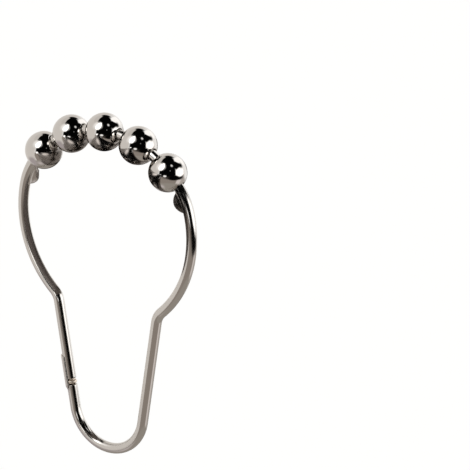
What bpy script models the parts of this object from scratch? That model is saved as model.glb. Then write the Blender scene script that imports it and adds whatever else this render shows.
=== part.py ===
"""Shower curtain hook with roller beads: one bent wire with a latch, and five hollow beads on it.

Metres, +Z up. The hook lies in the XZ plane, and the rod that it hangs on runs along Y.
The origin is the seat, the point under the middle bead that rests on top of the rod.
+X is the side of the plain front leg, and -X the side of the back leg with the latch.
"""
import math

import bmesh
import bpy
from mathutils import Matrix, Vector

# Wire
WIRE_DIAMETER = 0.00225

# The arc that carries the beads, measured on the wire's centreline
RING_RADIUS = 0.02365
BEAD_COUNT = 5

# Beads, pressed from sheet: the holes' edges are rolled in
BEAD_DIAMETER = 0.008
BEAD_WALL = 0.0005
BEAD_GAP = 0.0007
BEAD_CLEARANCE = 0.0003
RIM_SHARE_OF_WALL = 0.6

# The two legs below the arc, on the centreline, with angles in degrees
SHOULDER_RADIUS = 0.0140
SHOULDER_END = 76.5
WAIST_RADIUS = 0.0227
KINK_RADIUS = 0.004
LEG_LEAN = 9.5
BOWL_RADIUS = 0.009
BOWL_DROP = 0.03705

# The half-moon ears pressed out of the wire, which stop the end beads
EAR_LENGTH = 0.0050
EAR_HEIGHT = 0.0018
EAR_THICKNESS = 0.0006
EAR_CLEARANCE = 0.0008

# The latch on the back leg: a necked head on the upper end, and the lower end's gutter round it
LATCH_RISE = 0.0049
LATCH_GAP = 0.0003
HEAD_LENGTH = 0.00075
HEAD_ROUND = 0.0003
NECK_DIAMETER = 0.0013
NECK_LENGTH = 0.00035
GUTTER_LENGTH = 0.0068
GUTTER_WALL = 0.00024
GUTTER_CLEARANCE = 0.00008
GUTTER_LIP_SETBACK = 0.00005
GUTTER_TAPER = 0.0012
GUTTER_ROOT_SHARE = 0.8
TIP_ROUND_SHARE = 1.8

# How finely round forms are divided: bevel resolution, degrees a step, and counts
WIRE_BEVEL_RESOLUTION = 6
ARC_STEP = 5.5
TIGHT_ARC_STEP = 9.0
BEAD_SEGMENTS = 36
BEAD_OUTER_POINTS = 15
BEAD_INNER_POINTS = 7
ROUND_POINTS = 4
OUTLINE_POINTS = 18
FITTING_SEGMENTS = 24
WELD_DISTANCE = 0.000001
SHARP_ANGLE = 35.0

# Finishes: polished nickel, brighter on the beads than on the drawn wire
NICKEL_COLOR = (0.78, 0.75, 0.71, 1.0)
WIRE_ROUGHNESS = 0.10
BEAD_ROUGHNESS = 0.05


def heading(angle):
    """Unit direction in the hook's plane, turned clockwise from +X by an angle in radians."""
    return Vector((math.cos(angle), 0, -math.sin(angle)))


def outward(angle):
    """Unit direction square to a heading, on the side away from the inside of the loop."""
    return Vector((math.sin(angle), 0, math.cos(angle)))


def mirrored(vector):
    return Vector((-vector.x, vector.y, vector.z))


wire_radius = WIRE_DIAMETER / 2

# A bead's rim is a small round between its sphere and its hole
bead_radius = BEAD_DIAMETER / 2
hole_radius = wire_radius + BEAD_CLEARANCE
rim_radius = BEAD_WALL * RIM_SHARE_OF_WALL
rim_reach = hole_radius + rim_radius
rim_height = math.sqrt((bead_radius - rim_radius) ** 2 - rim_reach ** 2)
bead_half_length = rim_height + rim_radius

# The wire's arc crosses the middle of both holes, so a bead's centre lies inside the arc
bead_orbit = math.sqrt(RING_RADIUS ** 2 - rim_height ** 2)
bead_angle = 2 * math.asin((BEAD_DIAMETER + BEAD_GAP) / 2 / bead_orbit)
end_bead_angle = (BEAD_COUNT - 1) / 2 * bead_angle
ring_centre = Vector((0, 0, bead_radius - bead_orbit))

# The front half of the outline: ring, shoulder, waist, kink, straight leg and bowl.
# The shoulder starts where the end bead stops, and the waist's easier bend follows it
shoulder_start = end_bead_angle + math.asin(bead_half_length / RING_RADIUS)
shoulder_end = math.radians(SHOULDER_END)
straight_down = math.pi / 2
shoulder_centre = ring_centre + outward(shoulder_start) * (RING_RADIUS - SHOULDER_RADIUS)
waist_centre = shoulder_centre + outward(shoulder_end) * (SHOULDER_RADIUS - WAIST_RADIUS)
leg_heading = straight_down + math.radians(LEG_LEAN)
leg_up = -heading(leg_heading)
bowl_centre = ring_centre - Vector((0, 0, BOWL_DROP))
leg_foot = bowl_centre + outward(leg_heading) * BOWL_RADIUS

# The kink's round touches the waist arc from outside, and the straight leg on its outer side
kink_track = leg_foot + outward(leg_heading) * KINK_RADIUS
waist_along = (waist_centre - kink_track).dot(leg_up)
waist_aside = (waist_centre - kink_track - leg_up * waist_along).length
kink_below = math.sqrt((WAIST_RADIUS + KINK_RADIUS) ** 2 - waist_aside ** 2)
kink_centre = kink_track + leg_up * (waist_along - kink_below)
kink_start = straight_down + math.atan2(waist_centre.z - kink_centre.z, kink_centre.x - waist_centre.x)

# Heights along the back leg, above the end of the lower wire
head_bottom = LATCH_GAP
neck_bottom = head_bottom + HEAD_LENGTH
upper_wire_end = neck_bottom + NECK_LENGTH


def latch_frame():
    """Frame at the end of the lower wire: its Z runs up the back leg, its X points out of the loop."""
    up = mirrored(leg_up)
    out = mirrored(outward(leg_heading))
    return axes_frame(out, up.cross(out), up, mirrored(leg_foot) + up * LATCH_RISE)


def axes_frame(x_axis, y_axis, z_axis, origin):
    frame = Matrix((x_axis, y_axis, z_axis)).transposed().to_4x4()
    frame.translation = origin
    return frame


def arc_points(centre, radius, start, end, step):
    """Points on an arc between two headings, without its first point. A left turn has start > end."""
    count = max(2, math.ceil(abs(math.degrees(end - start)) / step))
    side = math.copysign(1, end - start)
    angles = [start + (end - start) * i / count for i in range(1, count + 1)]
    return [centre + outward(angle) * radius * side for angle in angles]


def upper_half():
    """Front centreline from the top of the ring down to where the kink meets the straight leg."""
    points = [ring_centre + Vector((0, 0, RING_RADIUS))]
    points += arc_points(ring_centre, RING_RADIUS, 0, shoulder_start, ARC_STEP)
    points += arc_points(shoulder_centre, SHOULDER_RADIUS, shoulder_start, shoulder_end, ARC_STEP)
    points += arc_points(waist_centre, WAIST_RADIUS, shoulder_end, kink_start, ARC_STEP)
    points += arc_points(kink_centre, KINK_RADIUS, kink_start, leg_heading, TIGHT_ARC_STEP)
    return points


def wire_route():
    """The whole centreline, from the wire's upper end round to its lower end at the latch."""
    upper = upper_half()
    bowl = [leg_foot] + arc_points(bowl_centre, BOWL_RADIUS, leg_heading, math.pi, TIGHT_ARC_STEP)
    latch = latch_frame()
    route = [latch @ Vector((0, 0, upper_wire_end))]
    route += [mirrored(point) for point in reversed(upper)]
    route += upper[1:] + bowl
    route += [mirrored(point) for point in reversed(bowl[:-1])]
    route += [latch.translation]
    return route


def remove_scene_objects():
    for item in list(bpy.data.objects):
        bpy.data.objects.remove(item, do_unlink=True)


def new_collection(name):
    collection = bpy.data.collections.new(name)
    bpy.context.scene.collection.children.link(collection)
    return collection


def new_material(name, color, roughness):
    material = bpy.data.materials.new(name)
    material.use_nodes = True
    shader = material.node_tree.nodes["Principled BSDF"]
    shader.inputs["Base Color"].default_value = color
    shader.inputs["Metallic"].default_value = 1.0
    shader.inputs["Roughness"].default_value = roughness
    return material


def new_object(name, data, collection):
    item = bpy.data.objects.new(name, data)
    collection.objects.link(item)
    return item


def turned(name, profile, segments, collection):
    """A form turned about Z from (radius, height) pairs that run down its outer side.

    A profile that starts and ends on the axis is solid, and any other is closed into a ring.
    """
    bm = bmesh.new()
    vertices = [bm.verts.new((radius, 0, height)) for radius, height in profile]
    ends_on_axis = profile[0][0] == 0 and profile[-1][0] == 0
    followers = vertices[1:] if ends_on_axis else vertices[1:] + vertices[:1]
    for first, second in zip(vertices, followers):
        bm.edges.new((first, second))
    mesh = bpy.data.meshes.new(name)
    bm.to_mesh(mesh)
    bm.free()
    item = new_object(name, mesh, collection)
    screw = item.modifiers.new("turning", "SCREW")
    screw.steps = segments
    screw.render_steps = segments
    screw.use_merge_vertices = True
    screw.merge_threshold = WELD_DISTANCE
    return item


def round_corner(centre_radius, centre_height, radius, start, end):
    """Profile points on a quarter or other round, with angles from the axis in degrees."""
    points = []
    for i in range(ROUND_POINTS + 1):
        turn = math.radians(start + (end - start) * i / ROUND_POINTS)
        points.append((centre_radius + radius * math.sin(turn), centre_height + radius * math.cos(turn)))
    return points


def curve_to_mesh(item, collection):
    """The curve object's shape as a closed mesh object, its caps welded on. The curve is removed."""
    bpy.context.view_layer.update()
    graph = bpy.context.evaluated_depsgraph_get()
    mesh = bpy.data.meshes.new_from_object(item.evaluated_get(graph))
    bm = bmesh.new()
    bm.from_mesh(mesh)
    bmesh.ops.remove_doubles(bm, verts=bm.verts, dist=WELD_DISTANCE)
    bm.to_mesh(mesh)
    bm.free()
    name = item.name
    place = item.matrix_world.copy()
    bpy.data.objects.remove(item, do_unlink=True)
    solid = new_object(name, mesh, collection)
    solid.matrix_world = place
    return solid


def plate(name, outline, thickness, frame, collection):
    """A flat outline in the frame's XY plane, given thickness to both sides of it."""
    curve = bpy.data.curves.new(name, "CURVE")
    curve.dimensions = "2D"
    curve.fill_mode = "BOTH"
    curve.extrude = thickness / 2
    spline = curve.splines.new("POLY")
    spline.points.add(len(outline) - 1)
    for point, (x, y) in zip(spline.points, outline):
        point.co = (x, y, 0, 1)
    spline.use_cyclic_u = True
    item = new_object(name, curve, collection)
    item.matrix_world = frame
    return curve_to_mesh(item, collection)


def as_cutter(item):
    item.hide_render = True
    item.display_type = "WIRE"
    return item


def add_boolean(item, other, operation):
    boolean = item.modifiers.new(other.name, "BOOLEAN")
    boolean.operation = operation
    boolean.object = other


def make_bent_wire(parts):
    """The wire by itself: a round bar that follows its route, cut square at both ends."""
    curve = bpy.data.curves.new("hook_wire", "CURVE")
    curve.dimensions = "3D"
    curve.twist_mode = "MINIMUM"
    curve.bevel_depth = wire_radius
    curve.bevel_resolution = WIRE_BEVEL_RESOLUTION
    curve.use_fill_caps = True
    route = wire_route()
    spline = curve.splines.new("POLY")
    spline.points.add(len(route) - 1)
    for point, place in zip(spline.points, route):
        point.co = (*place, 1)
    return curve_to_mesh(new_object("hook_wire", curve, parts), parts)


def make_ear(name, on_back, cutters):
    """A half-moon ear on the inner side of the wire, in the hook's plane, just past the end bead."""
    half_length = EAR_LENGTH / 2
    round_radius = (half_length ** 2 + EAR_HEIGHT ** 2) / (2 * EAR_HEIGHT)
    centre_height = wire_radius + EAR_HEIGHT - round_radius
    outline = []

    # The round is carried on down to the wire's centreline, so that its foot is buried in the wire
    root = math.asin(centre_height / round_radius)
    for i in range(OUTLINE_POINTS + 1):
        turn = -root + (math.pi + 2 * root) * i / OUTLINE_POINTS
        x = round_radius * math.cos(turn)
        y = centre_height + round_radius * math.sin(turn)
        outline.append((x, y))
    angle = shoulder_start + (EAR_CLEARANCE + half_length) / SHOULDER_RADIUS
    seat = shoulder_centre + outward(angle) * SHOULDER_RADIUS
    along = heading(angle)
    inward = -outward(angle)
    if on_back:
        seat, along, inward = mirrored(seat), mirrored(along), mirrored(inward)
    frame = axes_frame(along, inward, along.cross(inward), seat)
    return as_cutter(plate(name, outline, EAR_THICKNESS, frame, cutters))


def make_head(cutters):
    """The wire's upper end: a turned neck, and a head with rounded edges."""
    neck_radius = NECK_DIAMETER / 2
    buried = upper_wire_end + wire_radius
    profile = [(0, buried), (neck_radius, buried), (neck_radius, neck_bottom)]
    profile += round_corner(wire_radius - HEAD_ROUND, neck_bottom - HEAD_ROUND, HEAD_ROUND, 0, 90)
    profile += round_corner(wire_radius - HEAD_ROUND, head_bottom + HEAD_ROUND, HEAD_ROUND, 90, 180)
    profile += [(0, head_bottom)]
    head = turned("latch_head", profile, FITTING_SEGMENTS, cutters)
    head.matrix_world = latch_frame()
    return as_cutter(head)


def make_gutter(cutters):
    """The wire's lower end: a half-round gutter with a tapered root and a rounded tip."""
    # The taper meets the wire's skin at its full length, and is carried on a little under it
    inner = wire_radius + GUTTER_CLEARANCE
    outer = inner + GUTTER_WALL
    floor = -GUTTER_CLEARANCE
    buried = wire_radius * GUTTER_ROOT_SHARE
    taper_end = -GUTTER_TAPER * (outer - buried) / (outer - wire_radius)
    profile = [(inner, GUTTER_LENGTH), (outer, GUTTER_LENGTH), (outer, 0)]
    profile += [(buried, taper_end), (buried, floor), (inner, floor)]
    gutter = turned("latch_gutter", profile, FITTING_SEGMENTS, cutters)
    gutter.matrix_world = latch_frame()

    # Only the outer half stays, with lips that stop just short of the wire's middle and a round tip
    tip_radius = outer * TIP_ROUND_SHARE
    tip_centre = GUTTER_LENGTH - tip_radius
    below = 2 * taper_end
    outline = [(-tip_radius, below), (tip_radius, below)]
    for i in range(OUTLINE_POINTS + 1):
        turn = math.pi * i / OUTLINE_POINTS
        outline.append((tip_radius * math.cos(turn), tip_centre + tip_radius * math.sin(turn)))
    middle = outer + GUTTER_LIP_SETBACK
    facing_out = Matrix(((0, 0, 1, middle), (1, 0, 0, 0), (0, 1, 0, 0), (0, 0, 0, 1)))
    keep = plate("gutter_outline", outline, 2 * outer, latch_frame() @ facing_out, cutters)
    add_boolean(gutter, as_cutter(keep), "INTERSECT")
    return as_cutter(gutter)


def make_hook_wire(parts, cutters, material):
    wire = make_bent_wire(parts)
    fittings = [
        make_ear("front_ear", False, cutters),
        make_ear("back_ear", True, cutters),
        make_head(cutters),
        make_gutter(cutters),
    ]
    for fitting in fittings:
        add_boolean(wire, fitting, "UNION")
    wire.data.materials.clear()
    wire.data.materials.append(material)
    wire.data.shade_smooth()
    wire.data.set_sharp_from_angle(angle=math.radians(SHARP_ANGLE))


def bead_profile():
    """Half section of a bead: down its sphere, round the rim into the hole, and up its inside."""
    rim_turn = math.atan2(rim_reach, rim_height)
    outer = []
    for i in range(BEAD_OUTER_POINTS):
        turn = rim_turn + (math.pi - 2 * rim_turn) * i / (BEAD_OUTER_POINTS - 1)
        outer.append((bead_radius * math.sin(turn), bead_radius * math.cos(turn)))
    rim_start = 180 - math.degrees(rim_turn)
    lower_rim = round_corner(rim_reach, -rim_height, rim_radius, rim_start, 270)[1:]
    upper_rim = [(radius, -height) for radius, height in reversed(lower_rim)]
    inner_radius = bead_radius - BEAD_WALL
    hole_turn = math.asin(hole_radius / inner_radius)
    inner = []
    for i in range(BEAD_INNER_POINTS):
        turn = math.pi - hole_turn - (math.pi - 2 * hole_turn) * i / (BEAD_INNER_POINTS - 1)
        inner.append((inner_radius * math.sin(turn), inner_radius * math.cos(turn)))
    return outer + lower_rim + inner + upper_rim


def make_beads(parts, material):
    """Beads in a row round the ring, the first at the front. Each turns about its own Z."""
    for index in range(BEAD_COUNT):
        bead = turned(f"roller_bead_{index + 1}", bead_profile(), BEAD_SEGMENTS, parts)
        bead.data.materials.append(material)
        bead.data.shade_smooth()
        angle = end_bead_angle - index * bead_angle
        bead.location = ring_centre + outward(angle) * bead_orbit
        bead.rotation_euler = (0, straight_down + angle, 0)


remove_scene_objects()
hook_parts = new_collection("curtain_hook")
hook_cutters = new_collection("cutters")
make_hook_wire(hook_parts, hook_cutters, new_material("drawn_nickel_wire", NICKEL_COLOR, WIRE_ROUGHNESS))
make_beads(hook_parts, new_material("polished_nickel_bead", NICKEL_COLOR, BEAD_ROUGHNESS))
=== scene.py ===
"""A shower curtain hook: one bent, nickel-plated wire with a latch, and five roller beads on it."""
import math

import bmesh
import bpy
from mathutils import Euler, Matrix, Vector


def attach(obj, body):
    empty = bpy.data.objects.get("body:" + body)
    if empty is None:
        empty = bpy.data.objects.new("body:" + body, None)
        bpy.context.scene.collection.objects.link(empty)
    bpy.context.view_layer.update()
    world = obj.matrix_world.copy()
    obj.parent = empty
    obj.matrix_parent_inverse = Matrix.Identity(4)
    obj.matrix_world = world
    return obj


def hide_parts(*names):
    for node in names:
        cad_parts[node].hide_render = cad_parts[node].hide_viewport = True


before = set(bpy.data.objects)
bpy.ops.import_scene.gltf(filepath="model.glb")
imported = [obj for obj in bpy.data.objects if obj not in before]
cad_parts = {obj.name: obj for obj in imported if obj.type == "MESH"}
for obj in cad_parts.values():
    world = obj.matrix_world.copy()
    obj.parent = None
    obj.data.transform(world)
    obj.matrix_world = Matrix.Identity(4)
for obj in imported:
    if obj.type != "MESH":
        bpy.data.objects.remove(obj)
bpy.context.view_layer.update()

# The hook's wire is round drawn steel, bent on a former into one closed loop and then
# nickel-plated. Its two ends meet at the latch on the back leg: the upper end is turned to a
# necked head, and the lower end stops with a square shoulder.
WIRE_DIAMETER = 0.00225
RING_RADIUS = 0.02365
SHOULDER_RADIUS = 0.0140
SHOULDER_END = math.radians(76.5)
WAIST_RADIUS = 0.0227
KINK_RADIUS = 0.004
LEG_LEAN = math.radians(9.5)
BOWL_RADIUS = 0.009
BOWL_DROP = 0.03705
LATCH_RISE = 0.0049
HEAD_BOTTOM = 0.0003
HEAD_LENGTH = 0.00075
HEAD_ROUND = 0.0003
NECK_SHARE = 0.62
NECK_LENGTH = 0.00035
EDGE_ROUND = 0.00012
POINT_SPACING = 0.00025

# The ears, pressed out of the same wire just past the two end beads
EAR_LENGTH = 0.0050
EAR_HEIGHT = 0.0018
EAR_THICKNESS = 0.0006
EAR_SOFTNESS = 0.00012
EAR_CLEARANCE = 0.0008

# The row of beads on it, and how far from its axis and middle each bead seats on the ring
BEAD_COUNT = 5
BEAD_DIAMETER = 0.008
BEAD_GAP = 0.0007
SEAT_REACH = 0.001725
SEAT_ROUND = 0.0003

wire_radius = WIRE_DIAMETER / 2
bead_radius = BEAD_DIAMETER / 2
seat_height = math.sqrt((bead_radius - SEAT_ROUND) ** 2 - SEAT_REACH ** 2)
bead_orbit = math.sqrt(RING_RADIUS ** 2 - seat_height ** 2)
bead_pitch = 2 * math.asin((BEAD_DIAMETER + BEAD_GAP) / 2 / bead_orbit)
end_bead_turn = (BEAD_COUNT - 1) / 2 * bead_pitch
ring_centre = Vector((0, 0, bead_radius - bead_orbit))


def heading(turn):
    """Unit direction in the hook's plane, turned clockwise from +X."""
    return Vector((math.cos(turn), 0, -math.sin(turn)))


def outward(turn):
    """Unit direction square to a heading, away from the inside of the loop."""
    return Vector((math.sin(turn), 0, math.cos(turn)))


def mirrored(vector):
    return Vector((-vector.x, vector.y, vector.z))


def arc_points(centre, radius, start, end):
    """Points along an arc between two headings, without its first. A left turn has start > end."""
    count = math.ceil(abs(end - start) * radius / POINT_SPACING)
    side = math.copysign(radius, end - start)
    return [centre + outward(start + (end - start) * i / count) * side for i in range(1, count + 1)]


def line_points(start, end):
    """Points along a straight, without its first."""
    count = math.ceil((end - start).length / POINT_SPACING)
    return [start + (end - start) * i / count for i in range(1, count + 1)]


straight_down = math.pi / 2
shoulder_start = end_bead_turn + math.asin((seat_height + SEAT_ROUND) / RING_RADIUS)
shoulder_centre = ring_centre + outward(shoulder_start) * (RING_RADIUS - SHOULDER_RADIUS)
waist_centre = shoulder_centre + outward(SHOULDER_END) * (SHOULDER_RADIUS - WAIST_RADIUS)
leg_turn = straight_down + LEG_LEAN
leg_up = -heading(leg_turn)
bowl_centre = ring_centre - Vector((0, 0, BOWL_DROP))
leg_foot = bowl_centre + outward(leg_turn) * BOWL_RADIUS
kink_track = leg_foot + outward(leg_turn) * KINK_RADIUS
waist_along = (waist_centre - kink_track).dot(leg_up)
waist_aside = (waist_centre - kink_track - leg_up * waist_along).length
kink_below = math.sqrt((WAIST_RADIUS + KINK_RADIUS) ** 2 - waist_aside ** 2)
kink_centre = kink_track + leg_up * (waist_along - kink_below)
kink_to_waist = waist_centre - kink_centre
kink_turn = straight_down + math.atan2(kink_to_waist.z, -kink_to_waist.x)

latch_up = mirrored(leg_up)
latch_out = mirrored(outward(leg_turn))
latch_foot = mirrored(leg_foot) + latch_up * LATCH_RISE
neck_bottom = HEAD_BOTTOM + HEAD_LENGTH
upper_end = neck_bottom + NECK_LENGTH


def rounded_step(radius, height, corner, start, end, count=6):
    """(section share, height) pairs round an edge of the wire's end, angles in degrees."""
    pairs = []
    for i in range(count + 1):
        turn = math.radians(start + (end - start) * i / count)
        share = (radius + corner * math.sin(turn)) / wire_radius
        pairs.append((share, height + corner * math.cos(turn)))
    return pairs


def wire_stations():
    """(centre, section share) pairs from the head at the upper end round to the lower end."""
    head_edge = wire_radius - HEAD_ROUND
    cut_edge = wire_radius - EDGE_ROUND
    head = [(0, HEAD_BOTTOM)]
    head += rounded_step(head_edge, HEAD_BOTTOM + HEAD_ROUND, HEAD_ROUND, 180, 90)
    head += rounded_step(head_edge, neck_bottom - HEAD_ROUND, HEAD_ROUND, 90, 0)
    neck = [
        (NECK_SHARE, neck_bottom + EDGE_ROUND / 4),
        (NECK_SHARE, upper_end - EDGE_ROUND / 4),
    ]
    cut = rounded_step(cut_edge, upper_end + EDGE_ROUND, EDGE_ROUND, 180, 90)
    stations = [(latch_foot + latch_up * height, share) for share, height in head + neck + cut]
    upper_start = stations[-1][0]

    front = [ring_centre + Vector((0, 0, RING_RADIUS))]
    front += arc_points(ring_centre, RING_RADIUS, 0, shoulder_start)
    front += arc_points(shoulder_centre, SHOULDER_RADIUS, shoulder_start, SHOULDER_END)
    front += arc_points(waist_centre, WAIST_RADIUS, SHOULDER_END, kink_turn)
    front += arc_points(kink_centre, KINK_RADIUS, kink_turn, leg_turn)
    kink_end = front[-1]
    bowl = [leg_foot] + arc_points(bowl_centre, BOWL_RADIUS, leg_turn, math.pi)
    lower_start = latch_foot - latch_up * EDGE_ROUND
    loop = line_points(upper_start, mirrored(kink_end))[:-1]
    loop += [mirrored(point) for point in reversed(front)] + front[1:]
    loop += line_points(kink_end, leg_foot)[:-1] + bowl
    loop += [mirrored(point) for point in reversed(bowl[:-1])]
    loop += line_points(mirrored(leg_foot), lower_start)[:-1]
    stations += [(point, 1.0) for point in loop]

    lower_end = rounded_step(cut_edge, -EDGE_ROUND, EDGE_ROUND, 90, 0) + [(0, 0)]
    stations += [(latch_foot + latch_up * height, share) for share, height in lower_end]
    return stations


def ear_seats():
    """The middles of the two ears, on the wire's centreline."""
    turn = shoulder_start + (EAR_CLEARANCE + EAR_LENGTH / 2) / SHOULDER_RADIUS
    seat = shoulder_centre + outward(turn) * SHOULDER_RADIUS
    return [seat, mirrored(seat)]


def ear_reach(point):
    """How far an ear's half-moon reaches from the wire's centreline here, below 0 for none."""
    half = EAR_LENGTH / 2
    round_radius = (half ** 2 + EAR_HEIGHT ** 2) / (2 * EAR_HEIGHT)
    lift = wire_radius + EAR_HEIGHT - round_radius
    nearest = min((point - seat).length for seat in ear_seats())
    if nearest >= round_radius:
        return -wire_radius
    return lift + math.sqrt(round_radius ** 2 - nearest ** 2)


def add_node(tree, kind, settings=None, inputs=None):
    """Adds a node, sets its properties, and sets or links its inputs. A node among the inputs
    stands for its first output."""
    node = tree.nodes.new(kind)
    for name, value in (settings or {}).items():
        setattr(node, name, value)
    for key, value in (inputs or {}).items():
        source = value.outputs[0] if isinstance(value, bpy.types.Node) else value
        if isinstance(source, bpy.types.NodeSocket):
            tree.links.new(source, node.inputs[key])
        else:
            node.inputs[key].default_value = source
    return node


def geometry_tree(name, inputs):
    """A Geometry Nodes tree with a mesh in, a mesh out, and named inputs for its sizes."""
    tree = bpy.data.node_groups.new(name, "GeometryNodeTree")
    tree.interface.new_socket("Geometry", in_out="INPUT", socket_type="NodeSocketGeometry")
    for label, kind in inputs.items():
        tree.interface.new_socket(label, in_out="INPUT", socket_type=kind)
    tree.interface.new_socket("Geometry", in_out="OUTPUT", socket_type="NodeSocketGeometry")
    return tree, add_node(tree, "NodeGroupInput").outputs


def close_tree(tree, geometry, finish):
    """Ends a tree with smooth faces, real geometry and the piece's material."""
    smooth = add_node(tree, "GeometryNodeSetShadeSmooth", inputs={"Geometry": geometry})
    real = add_node(tree, "GeometryNodeRealizeInstances", inputs={"Geometry": smooth})
    finished = add_node(tree, "GeometryNodeSetMaterial", inputs={
        "Geometry": real, "Material": finish})
    add_node(tree, "NodeGroupOutput", inputs={"Geometry": finished})


def grown_by_nodes(name, mesh, tree, values):
    """A plain mesh object from the mesh that the tree makes out of the given one."""
    seed = bpy.data.objects.new(name + "_seed", mesh)
    bpy.context.scene.collection.objects.link(seed)
    modifier = seed.modifiers.new("growth", "NODES")
    modifier.node_group = tree
    for item in tree.interface.items_tree:
        if item.in_out == "INPUT" and item.name in values:
            modifier[item.identifier] = values[item.name]
    bpy.context.view_layer.update()
    evaluated = seed.evaluated_get(bpy.context.evaluated_depsgraph_get())
    result = bpy.data.meshes.new_from_object(evaluated)
    bpy.data.objects.remove(seed, do_unlink=True)
    result.name = name
    piece = bpy.data.objects.new(name, result)
    bpy.context.scene.collection.objects.link(piece)
    return piece


# Points closer than this, in metres, are merged where a mesh closes on itself
WELD_DISTANCE = 0.0000005


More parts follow.
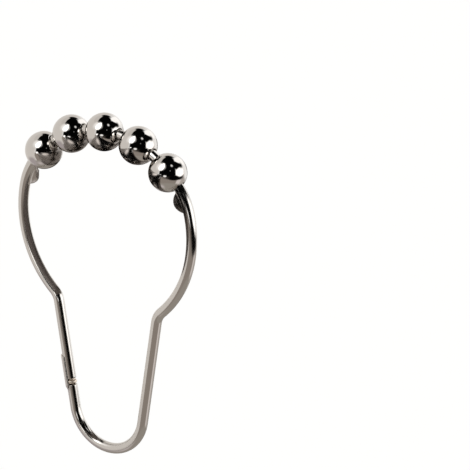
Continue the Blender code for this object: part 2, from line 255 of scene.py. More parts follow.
def wire_tree():
    """Sweeps a round section along the wire, thinner or thicker by each point's share, and
    draws the section out into a thin fin wherever an ear reaches."""
    tree, given = geometry_tree("bent wire with pressed ears", {
        "Wire Diameter": "NodeSocketFloat",
        "Sides": "NodeSocketInt",
        "Crowding": "NodeSocketFloat",
        "Ear Thickness": "NodeSocketFloat",
        "Ear Softness": "NodeSocketFloat",
        "Line Width": "NodeSocketFloat",
        "Line Length": "NodeSocketFloat",
        "Finish": "NodeSocketMaterial",
    })
    position = add_node(tree, "GeometryNodeInputPosition")
    across_hook = (0.0, 1.0, 0.0)

    # The section's points crowd together towards the ears' side
    half = add_node(tree, "ShaderNodeMath", {"operation": "DIVIDE"}, {
        0: given["Wire Diameter"], 1: 2.0})
    ring = add_node(tree, "GeometryNodeCurvePrimitiveCircle", inputs={
        "Resolution": given["Sides"], "Radius": half})
    parts = add_node(tree, "ShaderNodeSeparateXYZ", inputs={0: position}).outputs
    turn = add_node(tree, "ShaderNodeMath", {"operation": "ARCTAN2"}, {
        0: parts["Y"], 1: parts["X"]})
    sway = add_node(tree, "ShaderNodeMath", {"operation": "SINE"}, {0: turn})
    shift = add_node(tree, "ShaderNodeMath", {"operation": "MULTIPLY"}, {
        0: given["Crowding"], 1: sway})
    crowded = add_node(tree, "ShaderNodeMath", {"operation": "SUBTRACT"}, {0: turn, 1: shift})
    cosine = add_node(tree, "ShaderNodeMath", {"operation": "COSINE"}, {0: crowded})
    sine = add_node(tree, "ShaderNodeMath", {"operation": "SINE"}, {0: crowded})
    spot = add_node(tree, "ShaderNodeCombineXYZ", inputs={
        "X": add_node(tree, "ShaderNodeMath", {"operation": "MULTIPLY"}, {0: half, 1: cosine}),
        "Y": add_node(tree, "ShaderNodeMath", {"operation": "MULTIPLY"}, {0: half, 1: sine}),
    })
    section = add_node(tree, "GeometryNodeSetPosition", inputs={
        "Geometry": ring, "Position": spot})

    # The centreline, with its normals held square to the hook's plane. Each of its points hands
    # its place, its way to the inside of the loop and its length along the wire to the skin
    line = add_node(tree, "GeometryNodeMeshToCurve", inputs={"Mesh": given["Geometry"]})
    held = add_node(tree, "GeometryNodeSetCurveNormal", {"mode": "FREE"}, {
        "Curve": line, "Normal": across_hook})
    tangent = add_node(tree, "GeometryNodeInputTangent")
    way_in = add_node(tree, "ShaderNodeVectorMath", {"operation": "CROSS_PRODUCT"}, {
        0: tangent, 1: (0.0, -1.0, 0.0)})
    run = add_node(tree, "GeometryNodeSplineParameter").outputs["Length"]
    keep = add_node(tree, "GeometryNodeCaptureAttribute", {"domain": "POINT"}, {
        "Geometry": held})
    kept = (
        ("VECTOR", "Centre", position.outputs[0]),
        ("VECTOR", "Inward", way_in.outputs[0]),
        ("FLOAT", "Along", run),
    )
    for kind, label, value in kept:
        keep.capture_items.new(kind, label)
        tree.links.new(value, keep.inputs[label])
    centre, inward, along = (keep.outputs[label] for kind, label, value in kept)
    share = add_node(tree, "GeometryNodeInputNamedAttribute", inputs={"Name": "section_share"})
    skin = add_node(tree, "GeometryNodeCurveToMesh", inputs={
        "Curve": keep,
        "Profile Curve": section,
        "Scale": share.outputs["Attribute"],
    })

    # The fin: its tip follows the half-moon, and its sides are flat and parallel. The least values
    # of 0.02 and 0.001 keep the divisions finite
    moon = add_node(tree, "GeometryNodeInputNamedAttribute", inputs={
        "Name": "ear_reach"}).outputs["Attribute"]
    spoke = add_node(tree, "ShaderNodeVectorMath", {"operation": "SUBTRACT"}, {
        0: position, 1: centre})
    ray = add_node(tree, "ShaderNodeVectorMath", {"operation": "NORMALIZE"}, {0: spoke})
    bare = add_node(tree, "ShaderNodeVectorMath", {"operation": "LENGTH"}, {
        0: spoke}).outputs["Value"]
    ray_in = add_node(tree, "ShaderNodeVectorMath", {"operation": "DOT_PRODUCT"}, {
        0: ray, 1: inward}).outputs["Value"]
    ray_aside = add_node(tree, "ShaderNodeVectorMath", {"operation": "DOT_PRODUCT"}, {
        0: ray, 1: across_hook}).outputs["Value"]
    lean_in = add_node(tree, "ShaderNodeMath", {"operation": "MAXIMUM"}, {0: ray_in, 1: 0.02})
    aside = add_node(tree, "ShaderNodeMath", {"operation": "ABSOLUTE"}, {0: ray_aside})
    lean_aside = add_node(tree, "ShaderNodeMath", {"operation": "MAXIMUM"}, {0: aside, 1: 0.001})
    tip = add_node(tree, "ShaderNodeMath", {"operation": "DIVIDE"}, {0: moon, 1: lean_in})
    half_ear = add_node(tree, "ShaderNodeMath", {"operation": "DIVIDE"}, {
        0: given["Ear Thickness"], 1: 2.0})
    flat = add_node(tree, "ShaderNodeMath", {"operation": "DIVIDE"}, {0: half_ear, 1: lean_aside})
    nearer = add_node(tree, "ShaderNodeMath", {"operation": "SMOOTH_MIN"}, {
        0: tip, 1: flat, 2: given["Ear Softness"]})
    facing = add_node(tree, "ShaderNodeMath", {"operation": "GREATER_THAN"}, {0: ray_in, 1: 0.05})
    fin = add_node(tree, "ShaderNodeMath", {"operation": "MULTIPLY"}, {0: nearer, 1: facing})
    further = add_node(tree, "ShaderNodeMath", {"operation": "SMOOTH_MAX"}, {
        0: bare, 1: fin, 2: given["Ear Softness"]})
    eared = add_node(tree, "ShaderNodeMath", {"operation": "MAXIMUM"}, {0: further, 1: bare})
    has_ear = add_node(tree, "ShaderNodeMath", {"operation": "GREATER_THAN"}, {0: moon, 1: 0.0})
    reach = add_node(tree, "ShaderNodeMix", {"data_type": "FLOAT"}, {
        "Factor": has_ear, "A": bare, "B": eared}).outputs["Result"]
    arm = add_node(tree, "ShaderNodeVectorMath", {"operation": "SCALE"}, {
        0: ray, "Scale": reach})
    place = add_node(tree, "ShaderNodeVectorMath", {"operation": "ADD"}, {0: centre, 1: arm})
    moved = add_node(tree, "GeometryNodeSetPosition", inputs={
        "Geometry": skin, "Position": place})

    # Where each point lies round and along the wire, for the lines that the die leaves on it
    depth = add_node(tree, "ShaderNodeVectorMath", {"operation": "DOT_PRODUCT"}, {
        0: spoke, 1: inward}).outputs["Value"]
    width = add_node(tree, "ShaderNodeVectorMath", {"operation": "DOT_PRODUCT"}, {
        0: spoke, 1: across_hook}).outputs["Value"]
    side = add_node(tree, "ShaderNodeCombineXYZ", inputs={
        "X": add_node(tree, "ShaderNodeMath", {"operation": "DIVIDE"}, {
            0: depth, 1: given["Line Width"]}),
        "Y": add_node(tree, "ShaderNodeMath", {"operation": "DIVIDE"}, {
            0: width, 1: given["Line Width"]}),
        "Z": add_node(tree, "ShaderNodeMath", {"operation": "DIVIDE"}, {
            0: along, 1: given["Line Length"]}),
    })
    marked = add_node(tree, "GeometryNodeStoreNamedAttribute", {"data_type": "FLOAT_VECTOR"}, {
        "Geometry": moved, "Name": "wire_side", "Value": side})
    welded = add_node(tree, "GeometryNodeMergeByDistance", inputs={
        "Geometry": marked, "Distance": WELD_DISTANCE})
    close_tree(tree, welded, given["Finish"])
    return tree


def linear(hex_color):
    """sRGB hex to the linear RGBA that shaders take."""
    channels = [int(hex_color[i:i + 2], 16) / 255 for i in (1, 3, 5)]
    bent = [c / 12.92 if c <= 0.04045 else ((c + 0.055) / 1.055) ** 2.4 for c in channels]
    return (*bent, 1.0)


def new_material(name):
    """An empty material with its tree, a Principled shader and the output."""
    material = bpy.data.materials.new(name)
    material.use_nodes = True
    tree = material.node_tree
    return material, tree, tree.nodes["Principled BSDF"]


# Nickel plate on drawn steel wire: a warm, pale mirror, with faint lines along the wire from the
# drawing die that stretch the reflections a little lengthwise. The latch's head and neck are
# turned to shape, and the tool leaves them matt. They also get a paler, warmer tint than the
# plate, a painted sheen that makes them show as a pale band. Real die lines are some 0.02 mm
# apart, and are drawn coarser here, so that they show.
NICKEL_TINT = "#D3CFCA"
NICKEL_SHADE = "#CDC9C3"
DIE_LINE_WIDTH = 0.00012
DIE_LINE_LENGTH = 0.004
PLATE_CLOUD_SIZE = 0.004
TURNED_SHEEN_TINT = "#EFE3D4"
TURNED_ROUGHNESS = 0.45


def plated_wire():
    material, tree, shader = new_material("nickel_plated_drawn_wire")
    shader.inputs["Metallic"].default_value = 1.0
    across = add_node(tree, "ShaderNodeAttribute", {
        "attribute_name": "wire_side"}).outputs["Vector"]
    die_lines = add_node(tree, "ShaderNodeTexNoise", {"noise_dimensions": "3D"}, {
        "Vector": across, "Scale": 1.0, "Detail": 3.0, "Roughness": 0.6}).outputs["Fac"]
    place = add_node(tree, "ShaderNodeTexCoord").outputs["Object"]
    clouds = add_node(tree, "ShaderNodeTexNoise", inputs={
        "Vector": place, "Scale": 1 / PLATE_CLOUD_SIZE, "Detail": 4.0}).outputs["Fac"]
    tint = add_node(tree, "ShaderNodeMix", {"data_type": "RGBA"}, {
        "Factor": clouds, "A": linear(NICKEL_SHADE), "B": linear(NICKEL_TINT)})
    turned = add_node(tree, "ShaderNodeAttribute", {
        "attribute_name": "turned_share"}).outputs["Fac"]
    # The turned head and neck take the paler tint: painted sheen on top of their matt finish
    paler = add_node(tree, "ShaderNodeMix", {"data_type": "RGBA"}, {
        "Factor": turned, "A": tint.outputs["Result"], "B": linear(TURNED_SHEEN_TINT)})
    tree.links.new(paler.outputs["Result"], shader.inputs["Base Color"])
    gloss = add_node(tree, "ShaderNodeMapRange", inputs={
        "Value": die_lines, "From Min": 0.3, "From Max": 0.7, "To Min": 0.07, "To Max": 0.15})
    dulled = add_node(tree, "ShaderNodeMix", {"data_type": "FLOAT"}, {
        "Factor": turned, "A": gloss.outputs["Result"], "B": TURNED_ROUGHNESS})
    tree.links.new(dulled.outputs["Result"], shader.inputs["Roughness"])
    relief = add_node(tree, "ShaderNodeBump", inputs={
        "Height": die_lines, "Strength": 0.05, "Distance": 0.00002})
    tree.links.new(relief.outputs["Normal"], shader.inputs["Normal"])
    return material


def turned_share(point):
    """1 on the latch's turned head and neck, and 0 elsewhere."""
    arm = point - latch_foot
    return float(arm.dot(latch_up) > HEAD_BOTTOM / 2 and arm.length < upper_end)


def wire_line():
    """The centreline as a mesh of edges, with what the tree and the finish read at each point."""
    stations = wire_stations()
    points = [point for point, share in stations]
    mesh = bpy.data.meshes.new("wire_line")
    mesh.from_pydata(points, [(i, i + 1) for i in range(len(points) - 1)], [])
    marks = {
        "section_share": [share for point, share in stations],
        "turned_share": [turned_share(point) for point in points],
        "ear_reach": [ear_reach(point) for point in points],
    }
    for name, values in marks.items():
        mesh.attributes.new(name, "FLOAT", "POINT").data.foreach_set("value", values)
    return mesh


wire_finish = plated_wire()
nickel_wire = grown_by_nodes("nickel_wire", wire_line(), wire_tree(), {
    "Wire Diameter": WIRE_DIAMETER,
    "Sides": 80,
    "Crowding": 0.8,
    "Ear Thickness": EAR_THICKNESS,
    "Ear Softness": EAR_SOFTNESS,
    "Line Width": DIE_LINE_WIDTH,
    "Line Length": DIE_LINE_LENGTH,
    "Finish": wire_finish,
})
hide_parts("hook_wire")
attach(nickel_wire, "wire")

# The latch's gutter is the wire's lower end, pressed out to a half-round trough with a round tip.
# It cups the necked head from outside, and the leg's spring holds the head in it.
GUTTER_LENGTH = 0.0068
GUTTER_WALL = 0.00029
GUTTER_CLEARANCE = 0.00003
GUTTER_LIP_SETBACK = 0.00005
GUTTER_TAPER = 0.0012
GUTTER_TIP_SHARE = 1.8
GUTTER_TIP_START = 0.9
GUTTER_ROOT_SLOPE = 3
GUTTER_ROOT_SHARE = 0.9
GUTTER_ROOT_DEPTH = 1.25
TAPER_BANDS = 16
TROUGH_BANDS = 40
TIP_BANDS = 24


def gutter_section(height):
    """Inner radius, outer radius and half-width angle at a height above its root. Below the root
    the trough's hollow closes quickly, and its outside runs out into the wire."""
    inner = wire_radius + GUTTER_CLEARANCE
    outer = inner + GUTTER_WALL
    tip_radius = outer * GUTTER_TIP_SHARE
    tip_centre = GUTTER_LENGTH - tip_radius
    half_turn = math.acos(GUTTER_LIP_SETBACK / outer)
    if height > tip_centre:
        width = math.sqrt(max(tip_radius ** 2 - (height - tip_centre) ** 2, 0))
        half_turn = min(half_turn, math.asin(min(width / outer, 1)))
    if height < 0:
        rise = max(1 + height / GUTTER_TAPER, 0)
        outer = wire_radius + (outer - wire_radius) * rise * rise * (3 - 2 * rise)
        inner = max(inner + height * GUTTER_ROOT_SLOPE, wire_radius * GUTTER_ROOT_SHARE)
    return inner, outer, half_turn


def gutter_heights():
    """Where the bands lie: close in the taper, even up the trough, and closer round the tip."""
    sunk_bands = round(GUTTER_ROOT_DEPTH * TAPER_BANDS)
    heights = [-GUTTER_TAPER * (GUTTER_ROOT_DEPTH - i / TAPER_BANDS) for i in range(sunk_bands)]
    tip_start = GUTTER_LENGTH * GUTTER_TIP_START
    heights += [tip_start * i / TROUGH_BANDS for i in range(TROUGH_BANDS + 1)]
    for i in range(1, TIP_BANDS):
        below = math.cos(math.pi / 2 * i / TIP_BANDS) ** 2
        heights.append(GUTTER_LENGTH - (GUTTER_LENGTH - tip_start) * below)
    return heights


def gutter_mesh(sides=40, lip_points=8):
    """Closed bands from the root up to the tip, each a half ring with round lips."""
    mesh = bmesh.new()
    across = mesh.verts.layers.float_vector.new("wire_side")
    rings = []
    for height in gutter_heights():
        inner, outer, half_turn = gutter_section(height)
        middle = (inner + outer) / 2
        lip = (outer - inner) / 2
        lip_turn = max(half_turn - lip / middle, 0)
        spots = []
        for i in range(sides + 1):
            spots.append((outer, -lip_turn + 2 * lip_turn * i / sides, 0, 0))
        for i in range(1, lip_points):
            spots.append((middle, lip_turn, lip, math.pi * i / lip_points))
        for i in range(sides + 1):
            spots.append((inner, lip_turn - 2 * lip_turn * i / sides, 0, 0))
        for i in range(1, lip_points):
            spots.append((middle, -lip_turn, -lip, math.pi - math.pi * i / lip_points))
        ring = []
        for radius, turn, corner, swing in spots:
            x = radius + abs(corner) * math.cos(swing)
            y = corner * math.sin(swing)
            out = x * math.cos(turn) - y * math.sin(turn)
            side = x * math.sin(turn) + y * math.cos(turn)
            place = latch_foot + latch_out * out + Vector((0, side, 0)) + latch_up * height
            vert = mesh.verts.new(place)
            vert[across] = (out / DIE_LINE_WIDTH, side / DIE_LINE_WIDTH, height / DIE_LINE_LENGTH)
            ring.append(vert)
        rings.append(ring)
    for lower, upper in zip(rings, rings[1:]):
        for i in range(len(lower)):
            j = (i + 1) % len(lower)
            mesh.faces.new((lower[i], lower[j], upper[j], upper[i]))
    mesh.faces.new(list(reversed(rings[0])))
    mesh.faces.new(rings[-1])
    bmesh.ops.remove_doubles(mesh, verts=mesh.verts, dist=WELD_DISTANCE)
    bmesh.ops.recalc_face_normals(mesh, faces=mesh.faces)
    made = bpy.data.meshes.new("latch_gutter")
    mesh.to_mesh(made)
    mesh.free()
    made.shade_smooth()
    return made


latch_gutter = bpy.data.objects.new("latch_gutter", gutter_mesh())
bpy.context.scene.collection.objects.link(latch_gutter)
latch_gutter.data.materials.append(wire_finish)
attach(latch_gutter, "wire")

# Each roller bead is a hollow steel ball, drawn from thin sheet, with its two holes rolled inwards,
# then tumbled and nickel-plated bright. It is threaded on the wire and turns on it freely.
BEAD_WALL = 0.0005
HOLE_CLEARANCE = 0.00012
RIM_ROUND = 0.00014
SPHERE_POINTS = 72
ROLLED_RIM_POINTS = 10
INSIDE_POINTS = 24


def bead_section():
    """The half section as a closed loop of edges: X from the bead's axis, Y along it."""
    rim_reach = wire_radius + HOLE_CLEARANCE + RIM_ROUND
    rim_height = math.sqrt((bead_radius - RIM_ROUND) ** 2 - rim_reach ** 2)
    rim_turn = math.atan2(rim_reach, rim_height)
    points = []
    for i in range(SPHERE_POINTS + 1):
        turn = rim_turn + (math.pi - 2 * rim_turn) * i / SPHERE_POINTS
        points.append((bead_radius * math.sin(turn), bead_radius * math.cos(turn)))
    rim = []
    for i in range(1, ROLLED_RIM_POINTS + 1):
        turn = math.pi - rim_turn + (math.pi / 2 + rim_turn) * i / ROLLED_RIM_POINTS
        radius = rim_reach + RIM_ROUND * math.sin(turn)
        rim.append((radius, -rim_height + RIM_ROUND * math.cos(turn)))
    points += rim
    inside = bead_radius - BEAD_WALL
    hole_turn = math.asin((wire_radius + HOLE_CLEARANCE) / inside)
    for i in range(INSIDE_POINTS + 1):
        turn = math.pi - hole_turn - (math.pi - 2 * hole_turn) * i / INSIDE_POINTS
        points.append((inside * math.sin(turn), inside * math.cos(turn)))
    points += [(radius, -height) for radius, height in reversed(rim)]
    points.reverse()
    mesh = bpy.data.meshes.new("bead_section")
    count = len(points)
    edges = [(i, (i + 1) % count) for i in range(count)]
    mesh.from_pydata([(x, y, 0) for x, y in points], edges, [])
    return mesh


def bead_tree():
    """Spins the section round its axis and seats the bead at its number's place on the ring."""
    tree, given = geometry_tree("roller bead on the ring", {
        "Bead Number": "NodeSocketInt",
        "Bead Count": "NodeSocketInt",
        "Pitch": "NodeSocketFloat",
        "Orbit": "NodeSocketFloat",
        "Ring Height": "NodeSocketFloat",
        "Sides": "NodeSocketInt",
        "Finish": "NodeSocketMaterial",
    })

    # The section is spun by sweeping it round a small circle, which its X is first set back by
    small = 0.001
    outline = add_node(tree, "GeometryNodeMeshToCurve", inputs={"Mesh": given["Geometry"]})
    set_back = add_node(tree, "GeometryNodeTransform", inputs={
        "Geometry": outline, "Translation": (-small, 0.0, 0.0)})
    circle = add_node(tree, "GeometryNodeCurvePrimitiveCircle", inputs={
        "Resolution": given["Sides"], "Radius": small})
    ball = add_node(tree, "GeometryNodeCurveToMesh", inputs={
        "Curve": circle, "Profile Curve": set_back})

    # Bead 0 sits at the front end of the row. Its axis is turned from +Z to lie along the wire
    gaps = add_node(tree, "ShaderNodeMath", {"operation": "SUBTRACT"}, {
        0: given["Bead Count"], 1: 1.0})
    middle = add_node(tree, "ShaderNodeMath", {"operation": "DIVIDE"}, {0: gaps, 1: 2.0})
    steps = add_node(tree, "ShaderNodeMath", {"operation": "SUBTRACT"}, {
        0: middle, 1: given["Bead Number"]})
    turn = add_node(tree, "ShaderNodeMath", {"operation": "MULTIPLY"}, {
        0: steps, 1: given["Pitch"]})
    sine = add_node(tree, "ShaderNodeMath", {"operation": "SINE"}, {0: turn})
    cosine = add_node(tree, "ShaderNodeMath", {"operation": "COSINE"}, {0: turn})
    place = add_node(tree, "ShaderNodeCombineXYZ", inputs={
        "X": add_node(tree, "ShaderNodeMath", {"operation": "MULTIPLY"}, {
            0: given["Orbit"], 1: sine}),
        "Z": add_node(tree, "ShaderNodeMath", {"operation": "MULTIPLY_ADD"}, {
            0: given["Orbit"], 1: cosine, 2: given["Ring Height"]}),
    })
    lean = add_node(tree, "ShaderNodeCombineXYZ", inputs={
        "Y": add_node(tree, "ShaderNodeMath", {"operation": "ADD"}, {0: turn, 1: math.pi / 2}),
    })
    seated = add_node(tree, "GeometryNodeTransform", inputs={
        "Geometry": ball, "Translation": place, "Rotation": lean})
    close_tree(tree, seated, given["Finish"])
    return tree


# Bright nickel on a tumbled ball: a clean mirror, a little orange-peeled, with short rubs that
# dull it here and there.
PEEL_SIZE = 0.0011
RUB_SIZE = 0.0003


def bright_plating():
    material, tree, shader = new_material("bright_nickel_plated_ball")
    shader.inputs["Metallic"].default_value = 1.0
    shader.inputs["Base Color"].default_value = linear(NICKEL_TINT)
    place = add_node(tree, "ShaderNodeTexCoord").outputs["Object"]
    peel = add_node(tree, "ShaderNodeTexNoise", inputs={
        "Vector": place, "Scale": 1 / PEEL_SIZE, "Detail": 2.0}).outputs["Fac"]
    rubs = add_node(tree, "ShaderNodeTexNoise", {"noise_dimensions": "3D"}, {
        "Vector": place, "Scale": 1 / RUB_SIZE, "Detail": 5.0, "Distortion": 1.5}).outputs["Fac"]
    gloss = add_node(tree, "ShaderNodeMapRange", inputs={
        "Value": rubs, "From Min": 0.45, "From Max": 0.8, "To Min": 0.03, "To Max": 0.10})
    tree.links.new(gloss.outputs["Result"], shader.inputs["Roughness"])
    relief = add_node(tree, "ShaderNodeBump", inputs={
        "Height": peel, "Strength": 0.05, "Distance": 0.00002})
    tree.links.new(relief.outputs["Normal"], shader.inputs["Normal"])
    return material


ball_finish = bright_plating()
ball_tree = bead_tree()
ball_section = bead_section()
for number in range(BEAD_COUNT):
    ball = grown_by_nodes(f"nickel_bead_{number + 1}", ball_section.copy(), ball_tree, {
        "Bead Number": number,
        "Bead Count": BEAD_COUNT,
        "Pitch": bead_pitch,
        "Orbit": bead_orbit,
        "Ring Height": ring_centre.z,
        "Sides": 128,
        "Finish": ball_finish,
    })
    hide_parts(f"roller_bead_{number + 1}")
    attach(ball, f"bead_{number + 1}")

# The studio: a plain white floor under the hanging hook, and a white surround. The surround and
# the floor's own glow also show to mirrors, and the floor keeps the shadow.
FLOOR_HEIGHT = -0.2
FLOOR_SIZE = 8.0
FLOOR_PAINT = "#F2F1EF"
FLOOR_GLOW = 0.45
SURROUND_FILL = 0.5
WHITE = "#FFFFFF"


def studio_rays(tree):
    """1 for the rays that see the backdrop straight or through a mirror or glass, or 0."""
    path = add_node(tree, "ShaderNodeLightPath").outputs
    seen = add_node(tree, "ShaderNodeMath", {"operation": "MAXIMUM"}, {
        0: path["Is Camera Ray"], 1: path["Is Glossy Ray"]})
    return add_node(tree, "ShaderNodeMath", {"operation": "MAXIMUM"}, {
        0: seen, 1: path["Is Transmission Ray"]})


def stage_object(name, mesh, material):
    item = bpy.data.objects.new(name, mesh)
    bpy.context.scene.collection.objects.link(item)
    item.data.materials.append(material)
    return item


def floor_paint():
    material = bpy.data.materials.new("white_floor_paint")
    material.use_nodes = True
    tree = material.node_tree
    tree.nodes.clear()
    paint = add_node(tree, "ShaderNodeBsdfDiffuse", inputs={"Color": linear(FLOOR_PAINT)})
    level = add_node(tree, "ShaderNodeMath", {"operation": "MULTIPLY"}, {
        0: studio_rays(tree), 1: FLOOR_GLOW})
    glow = add_node(tree, "ShaderNodeEmission", inputs={
        "Color": linear(WHITE), "Strength": level})
    both = add_node(tree, "ShaderNodeAddShader", inputs={0: paint, 1: glow})
    add_node(tree, "ShaderNodeOutputMaterial", inputs={"Surface": both})
    return material


def floor_mesh():
    half = FLOOR_SIZE / 2
    corners = [(-half, -half), (half, -half), (half, half), (-half, half)]
    mesh = bpy.data.meshes.new("studio_floor")
    mesh.from_pydata([(x, y, FLOOR_HEIGHT) for x, y in corners], [], [(0, 1, 2, 3)])
    return mesh


stage_object("studio_floor", floor_mesh(), floor_paint())

surround = bpy.data.worlds.new("white_surround")
surround.use_nodes = True
surround_tree = surround.node_tree
surround_tree.nodes.clear()
surround_level = add_node(surround_tree, "ShaderNodeMapRange", inputs={
    "Value": studio_rays(surround_tree), "To Min": SURROUND_FILL, "To Max": 1.0})
surround_light = add_node(surround_tree, "ShaderNodeBackground", inputs={
    "Color": linear(WHITE), "Strength": surround_level})
add_node(surround_tree, "ShaderNodeOutputWorld", inputs={"Surface": surround_light})
bpy.context.scene.world = surround

# One soft lamp, high over the camera's left shoulder, for the floor's shadow. Mirrors show the
# cards below in its place.
lamp_aim = Vector((0.25, 0.45, -1))
soft_light = bpy.data.lights.new("soft_key", "SUN")
soft_light.energy = 0.45
soft_light.angle = math.radians(25)
soft_key = bpy.data.objects.new("soft_key", soft_light)
soft_key.rotation_euler = lamp_aim.to_track_quat("-Z", "Y").to_euler()
soft_key.visible_glossy = False
bpy.context.scene.collection.objects.link(soft_key)

# Cards and flags stand round the hook for its mirror finish, and only mirrors see them. Each is a
# patch of a sphere round the beads, given by its bearings and heights in degrees and its distance:
# bearing 0 faces -Y, and 90 faces +X. Those that would go through the floor lie on it, and the
# nearer ones lie a little higher.
BLACK = "#060606"
CARD_CENTRE = Vector((0, 0, -0.015))
CARD_STEPS = 32
FLOOR_STACKING = 0.1


def card_finish(name, color, strength, softness, squareness):
    """A glowing or black card. Its edge fades out over the given share of its half-width, and its
    outline goes from an oval, squareness 2, towards a rectangle."""
    material = bpy.data.materials.new(name)
    material.use_nodes = True
    tree = material.node_tree
    tree.nodes.clear()
    spread = add_node(tree, "ShaderNodeUVMap", {"uv_map": "spread"})
    parts = add_node(tree, "ShaderNodeSeparateXYZ", inputs={0: spread}).outputs
    grown = []
    for part in (parts["X"], parts["Y"]):
        out = add_node(tree, "ShaderNodeMath", {"operation": "ABSOLUTE"}, {0: part})
        grown.append(add_node(tree, "ShaderNodeMath", {"operation": "POWER"}, {
            0: out, 1: squareness}))
    total = add_node(tree, "ShaderNodeMath", {"operation": "ADD"}, {0: grown[0], 1: grown[1]})
    away = add_node(tree, "ShaderNodeMath", {"operation": "POWER"}, {0: total, 1: 1 / squareness})
    mask = add_node(tree, "ShaderNodeMapRange", {"interpolation_type": "SMOOTHSTEP"}, {
        "Value": away, "From Min": 1.0, "From Max": 1.0 - softness})
    clear = add_node(tree, "ShaderNodeBsdfTransparent")
    glow = add_node(tree, "ShaderNodeEmission", inputs={
        "Color": linear(color), "Strength": strength})
    mixed = add_node(tree, "ShaderNodeMixShader", inputs={0: mask, 1: clear, 2: glow})
    add_node(tree, "ShaderNodeOutputMaterial", inputs={"Surface": mixed})
    return material


def between(ends, share):
    """From the first end to the second, as share goes from -1 to 1."""
    return (ends[0] + ends[1] + (ends[1] - ends[0]) * share) / 2


def card_point(bearings, heights, distance, slant, u, v):
    """The card's point at u and v, from -1 to 1. slant shifts its upper edge sideways by so many
    degrees."""
    height = math.radians(between(heights, v))
    bearing = math.radians(between(bearings, u) + slant * v)
    reach = distance
    if height < 0:
        drop = (CARD_CENTRE.z - FLOOR_HEIGHT) * (1 - FLOOR_STACKING * (1 - distance))
        reach = min(distance, drop / math.sin(-height))
    level = math.cos(height)
    ray = Vector((math.sin(bearing) * level, -math.cos(bearing) * level, math.sin(height)))
    return CARD_CENTRE + ray * reach


def card_edge(bearings, heights, u, v):
    """How far out on the card a point counts, for the fading edge. A card that goes all round,
    or reaches straight up or down, doesn't fade there."""
    across = 0 if bearings[1] - bearings[0] >= 360 else u
    upward = v
    if heights[1] >= 90:
        upward = min(v, 0)
    if heights[0] <= -90:
        upward = max(v, 0)
    return across, upward


def hide_from_all_but_mirrors(item):
    item.visible_camera = False
    item.visible_diffuse = False
    item.visible_transmission = False
    item.visible_shadow = False


def studio_card(name, bearings, heights, distance, color, strength, softness, squareness, slant=0):
    mesh = bmesh.new()
    spread = mesh.loops.layers.uv.new("spread")
    steps = [-1 + 2 * i / CARD_STEPS for i in range(CARD_STEPS + 1)]
    verts = [
        [mesh.verts.new(card_point(bearings, heights, distance, slant, u, v)) for u in steps]
        for v in steps]
    for j in range(CARD_STEPS):
        for i in range(CARD_STEPS):
            ring = ((j, i), (j, i + 1), (j + 1, i + 1), (j + 1, i))
            face = mesh.faces.new([verts[k][m] for k, m in ring])
            for loop, (k, m) in zip(face.loops, ring):
                loop[spread].uv = card_edge(bearings, heights, steps[m], steps[k])
    made = bpy.data.meshes.new(name)
    mesh.to_mesh(made)
    mesh.free()
    finish = card_finish(name + "_finish", color, strength, softness, squareness)
    hide_from_all_but_mirrors(stage_object(name, made, finish))


# Each card's name, bearings, heights, distance, colour, strength, softness and squareness.
# First the walls, and the black flags before them
studio_card("ceiling_flag", (-180, 180), (55, 90), 0.66, BLACK, 1.0, 0.35, 5)
studio_card("back_flag", (-190, -118), (42, 70), 0.65, BLACK, 1.0, 0.5, 3)
studio_card("wall_top", (-138, -50), (40, 67.5), 0.64, "#EDE9E5", 0.9, 0.30, 3)
studio_card("left_wall", (-168, -18), (-60, 66), 0.68, "#EDE9E5", 1.0, 0.12, 5)
studio_card("left_floor", (-115, -22), (-64, -20), 0.51, "#BDB5B7", 1.0, 0.6, 3)
studio_card("front_flag", (-16, 90), (-12, 72), 0.60, BLACK, 1.0, 0.10, 5, slant=4)
studio_card("low_shade", (-16, 100), (-26, 0), 0.52, "#332F2B", 1.0, 1.0, 2)
studio_card("arch_flag", (72, 158), (16, 68), 0.59, BLACK, 1.0, 0.30, 2.5, slant=-12)
studio_card("arch_tail", (114, 166), (11, 40), 0.55, BLACK, 1.0, 0.85, 2)

# Then the lights
studio_card("key_softbox", (-33, 14), (20.5, 72), 0.50, WHITE, 4.0, 0.50, 2.4, slant=3.5)
studio_card("key_spill", (-68, 4), (14, 74), 0.62, WHITE, 1.35, 1.0, 2)
studio_card("key_fringe", (-14, 29), (28, 68), 0.505, WHITE, 1.1, 1.0, 2)
studio_card("window_light", (60, 88), (43, 63), 0.50, WHITE, 1.1, 0.85, 2)
studio_card("spot_high", (48, 57), (22, 31), 0.50, WHITE, 0.25, 0.7, 2)
studio_card("spot_middle", (7, 33), (-11, 4), 0.50, WHITE, 1.3, 0.6, 2)
studio_card("spot_left", (-16, 2), (-9, 6), 0.50, WHITE, 2.4, 0.7, 2)
studio_card("right_softbox", (79, 146), (-16, 30.5), 0.56, WHITE, 1.9, 0.35, 2.3)
studio_card("right_low_box", (136, 200), (-28, 6), 0.545, WHITE, 1.2, 0.6, 2.3)
studio_card("back_softbox", (142, 190), (6, 62), 0.57, WHITE, 1.5, 0.30, 3, slant=-15)
studio_card("back_band", (110, 215), (-8, 30), 0.58, WHITE, 1.2, 0.4, 3)

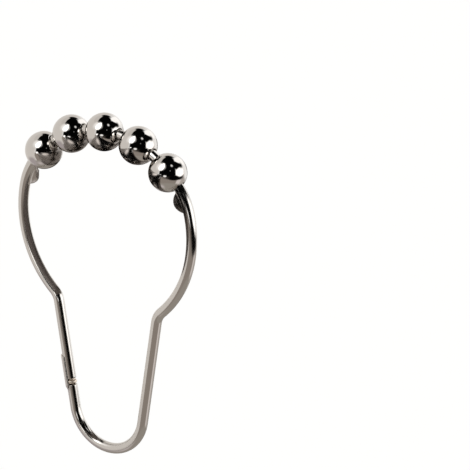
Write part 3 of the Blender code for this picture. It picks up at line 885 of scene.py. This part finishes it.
# Last, what the hook's lower side sees
studio_card("floor_card", (-28, 98), (-90, 4), 0.62, "#A09790", 1.0, 0.14, 7)
studio_card("low_right_card", (85, 170), (-58, -4), 0.63, "#F0E9E7", 1.0, 0.2, 5)
studio_card("low_card", (-180, 180), (-90, -41), 0.54, "#A9A39C", 1.0, 0.25, 5)
studio_card("low_glow", (-75, 22), (-89, -44), 0.53, "#D9D1D2", 1.0, 1.0, 2)
studio_card("low_back_card", (-225, -95), (-75, -20), 0.61, "#403B37", 1.0, 0.4, 3)
studio_card("low_far_card", (118, 188), (-52, -12), 0.60, "#C4BEB9", 1.0, 0.4, 3)
studio_card("dark_middle", (34, 112), (-31, 0), 0.515, BLACK, 1.0, 0.42, 2.4, slant=-4)
studio_card("dark_card", (20, 150), (-30, 0), 0.57, BLACK, 1.0, 0.42, 2.4, slant=-4)

# A brushed steel tube stands inside the loop, for mirrors alone, so that the beads' undersides
# and the ears darken as they do over whatever the hook hangs on.
TUBE_RADIUS = 0.0129
TUBE_HEIGHT = -0.0130
TUBE_LENGTH = 0.40
TUBE_SIDES = 96
TUBE_TINT = "#847F7C"
TUBE_ROUGHNESS = 0.23


def tube_mesh():
    mesh = bmesh.new()
    bmesh.ops.create_cone(
        mesh, segments=TUBE_SIDES, radius1=TUBE_RADIUS, radius2=TUBE_RADIUS, depth=TUBE_LENGTH)
    bmesh.ops.rotate(mesh, verts=mesh.verts, matrix=Euler((math.pi / 2, 0, 0)).to_matrix())
    bmesh.ops.translate(mesh, verts=mesh.verts, vec=(0, 0, TUBE_HEIGHT))
    made = bpy.data.meshes.new("studio_tube")
    mesh.to_mesh(made)
    mesh.free()
    made.shade_smooth()
    return made


def brushed_steel():
    material, tree, shader = new_material("brushed_steel_tube")
    shader.inputs["Metallic"].default_value = 1.0
    shader.inputs["Base Color"].default_value = linear(TUBE_TINT)
    shader.inputs["Roughness"].default_value = TUBE_ROUGHNESS
    return material


hide_from_all_but_mirrors(stage_object("studio_tube", tube_mesh(), brushed_steel()))

# The camera stands in front and to the right, a little above the beads, with a long lens
CAMERA_PLACE = Vector((0.3082, -0.4069, 0.1365))
CAMERA_BACK = Vector((0.5369, -0.7921, 0.2903))
camera = bpy.data.cameras.new("camera")
camera.lens = 196.2
camera.sensor_width = 36
camera_object = bpy.data.objects.new("camera", camera)
camera_object.location = CAMERA_PLACE
camera_object.rotation_euler = CAMERA_BACK.to_track_quat("Z", "Y").to_euler()
bpy.context.scene.collection.objects.link(camera_object)
bpy.context.scene.camera = camera_object
bpy.context.scene.view_settings.view_transform = "Standard"
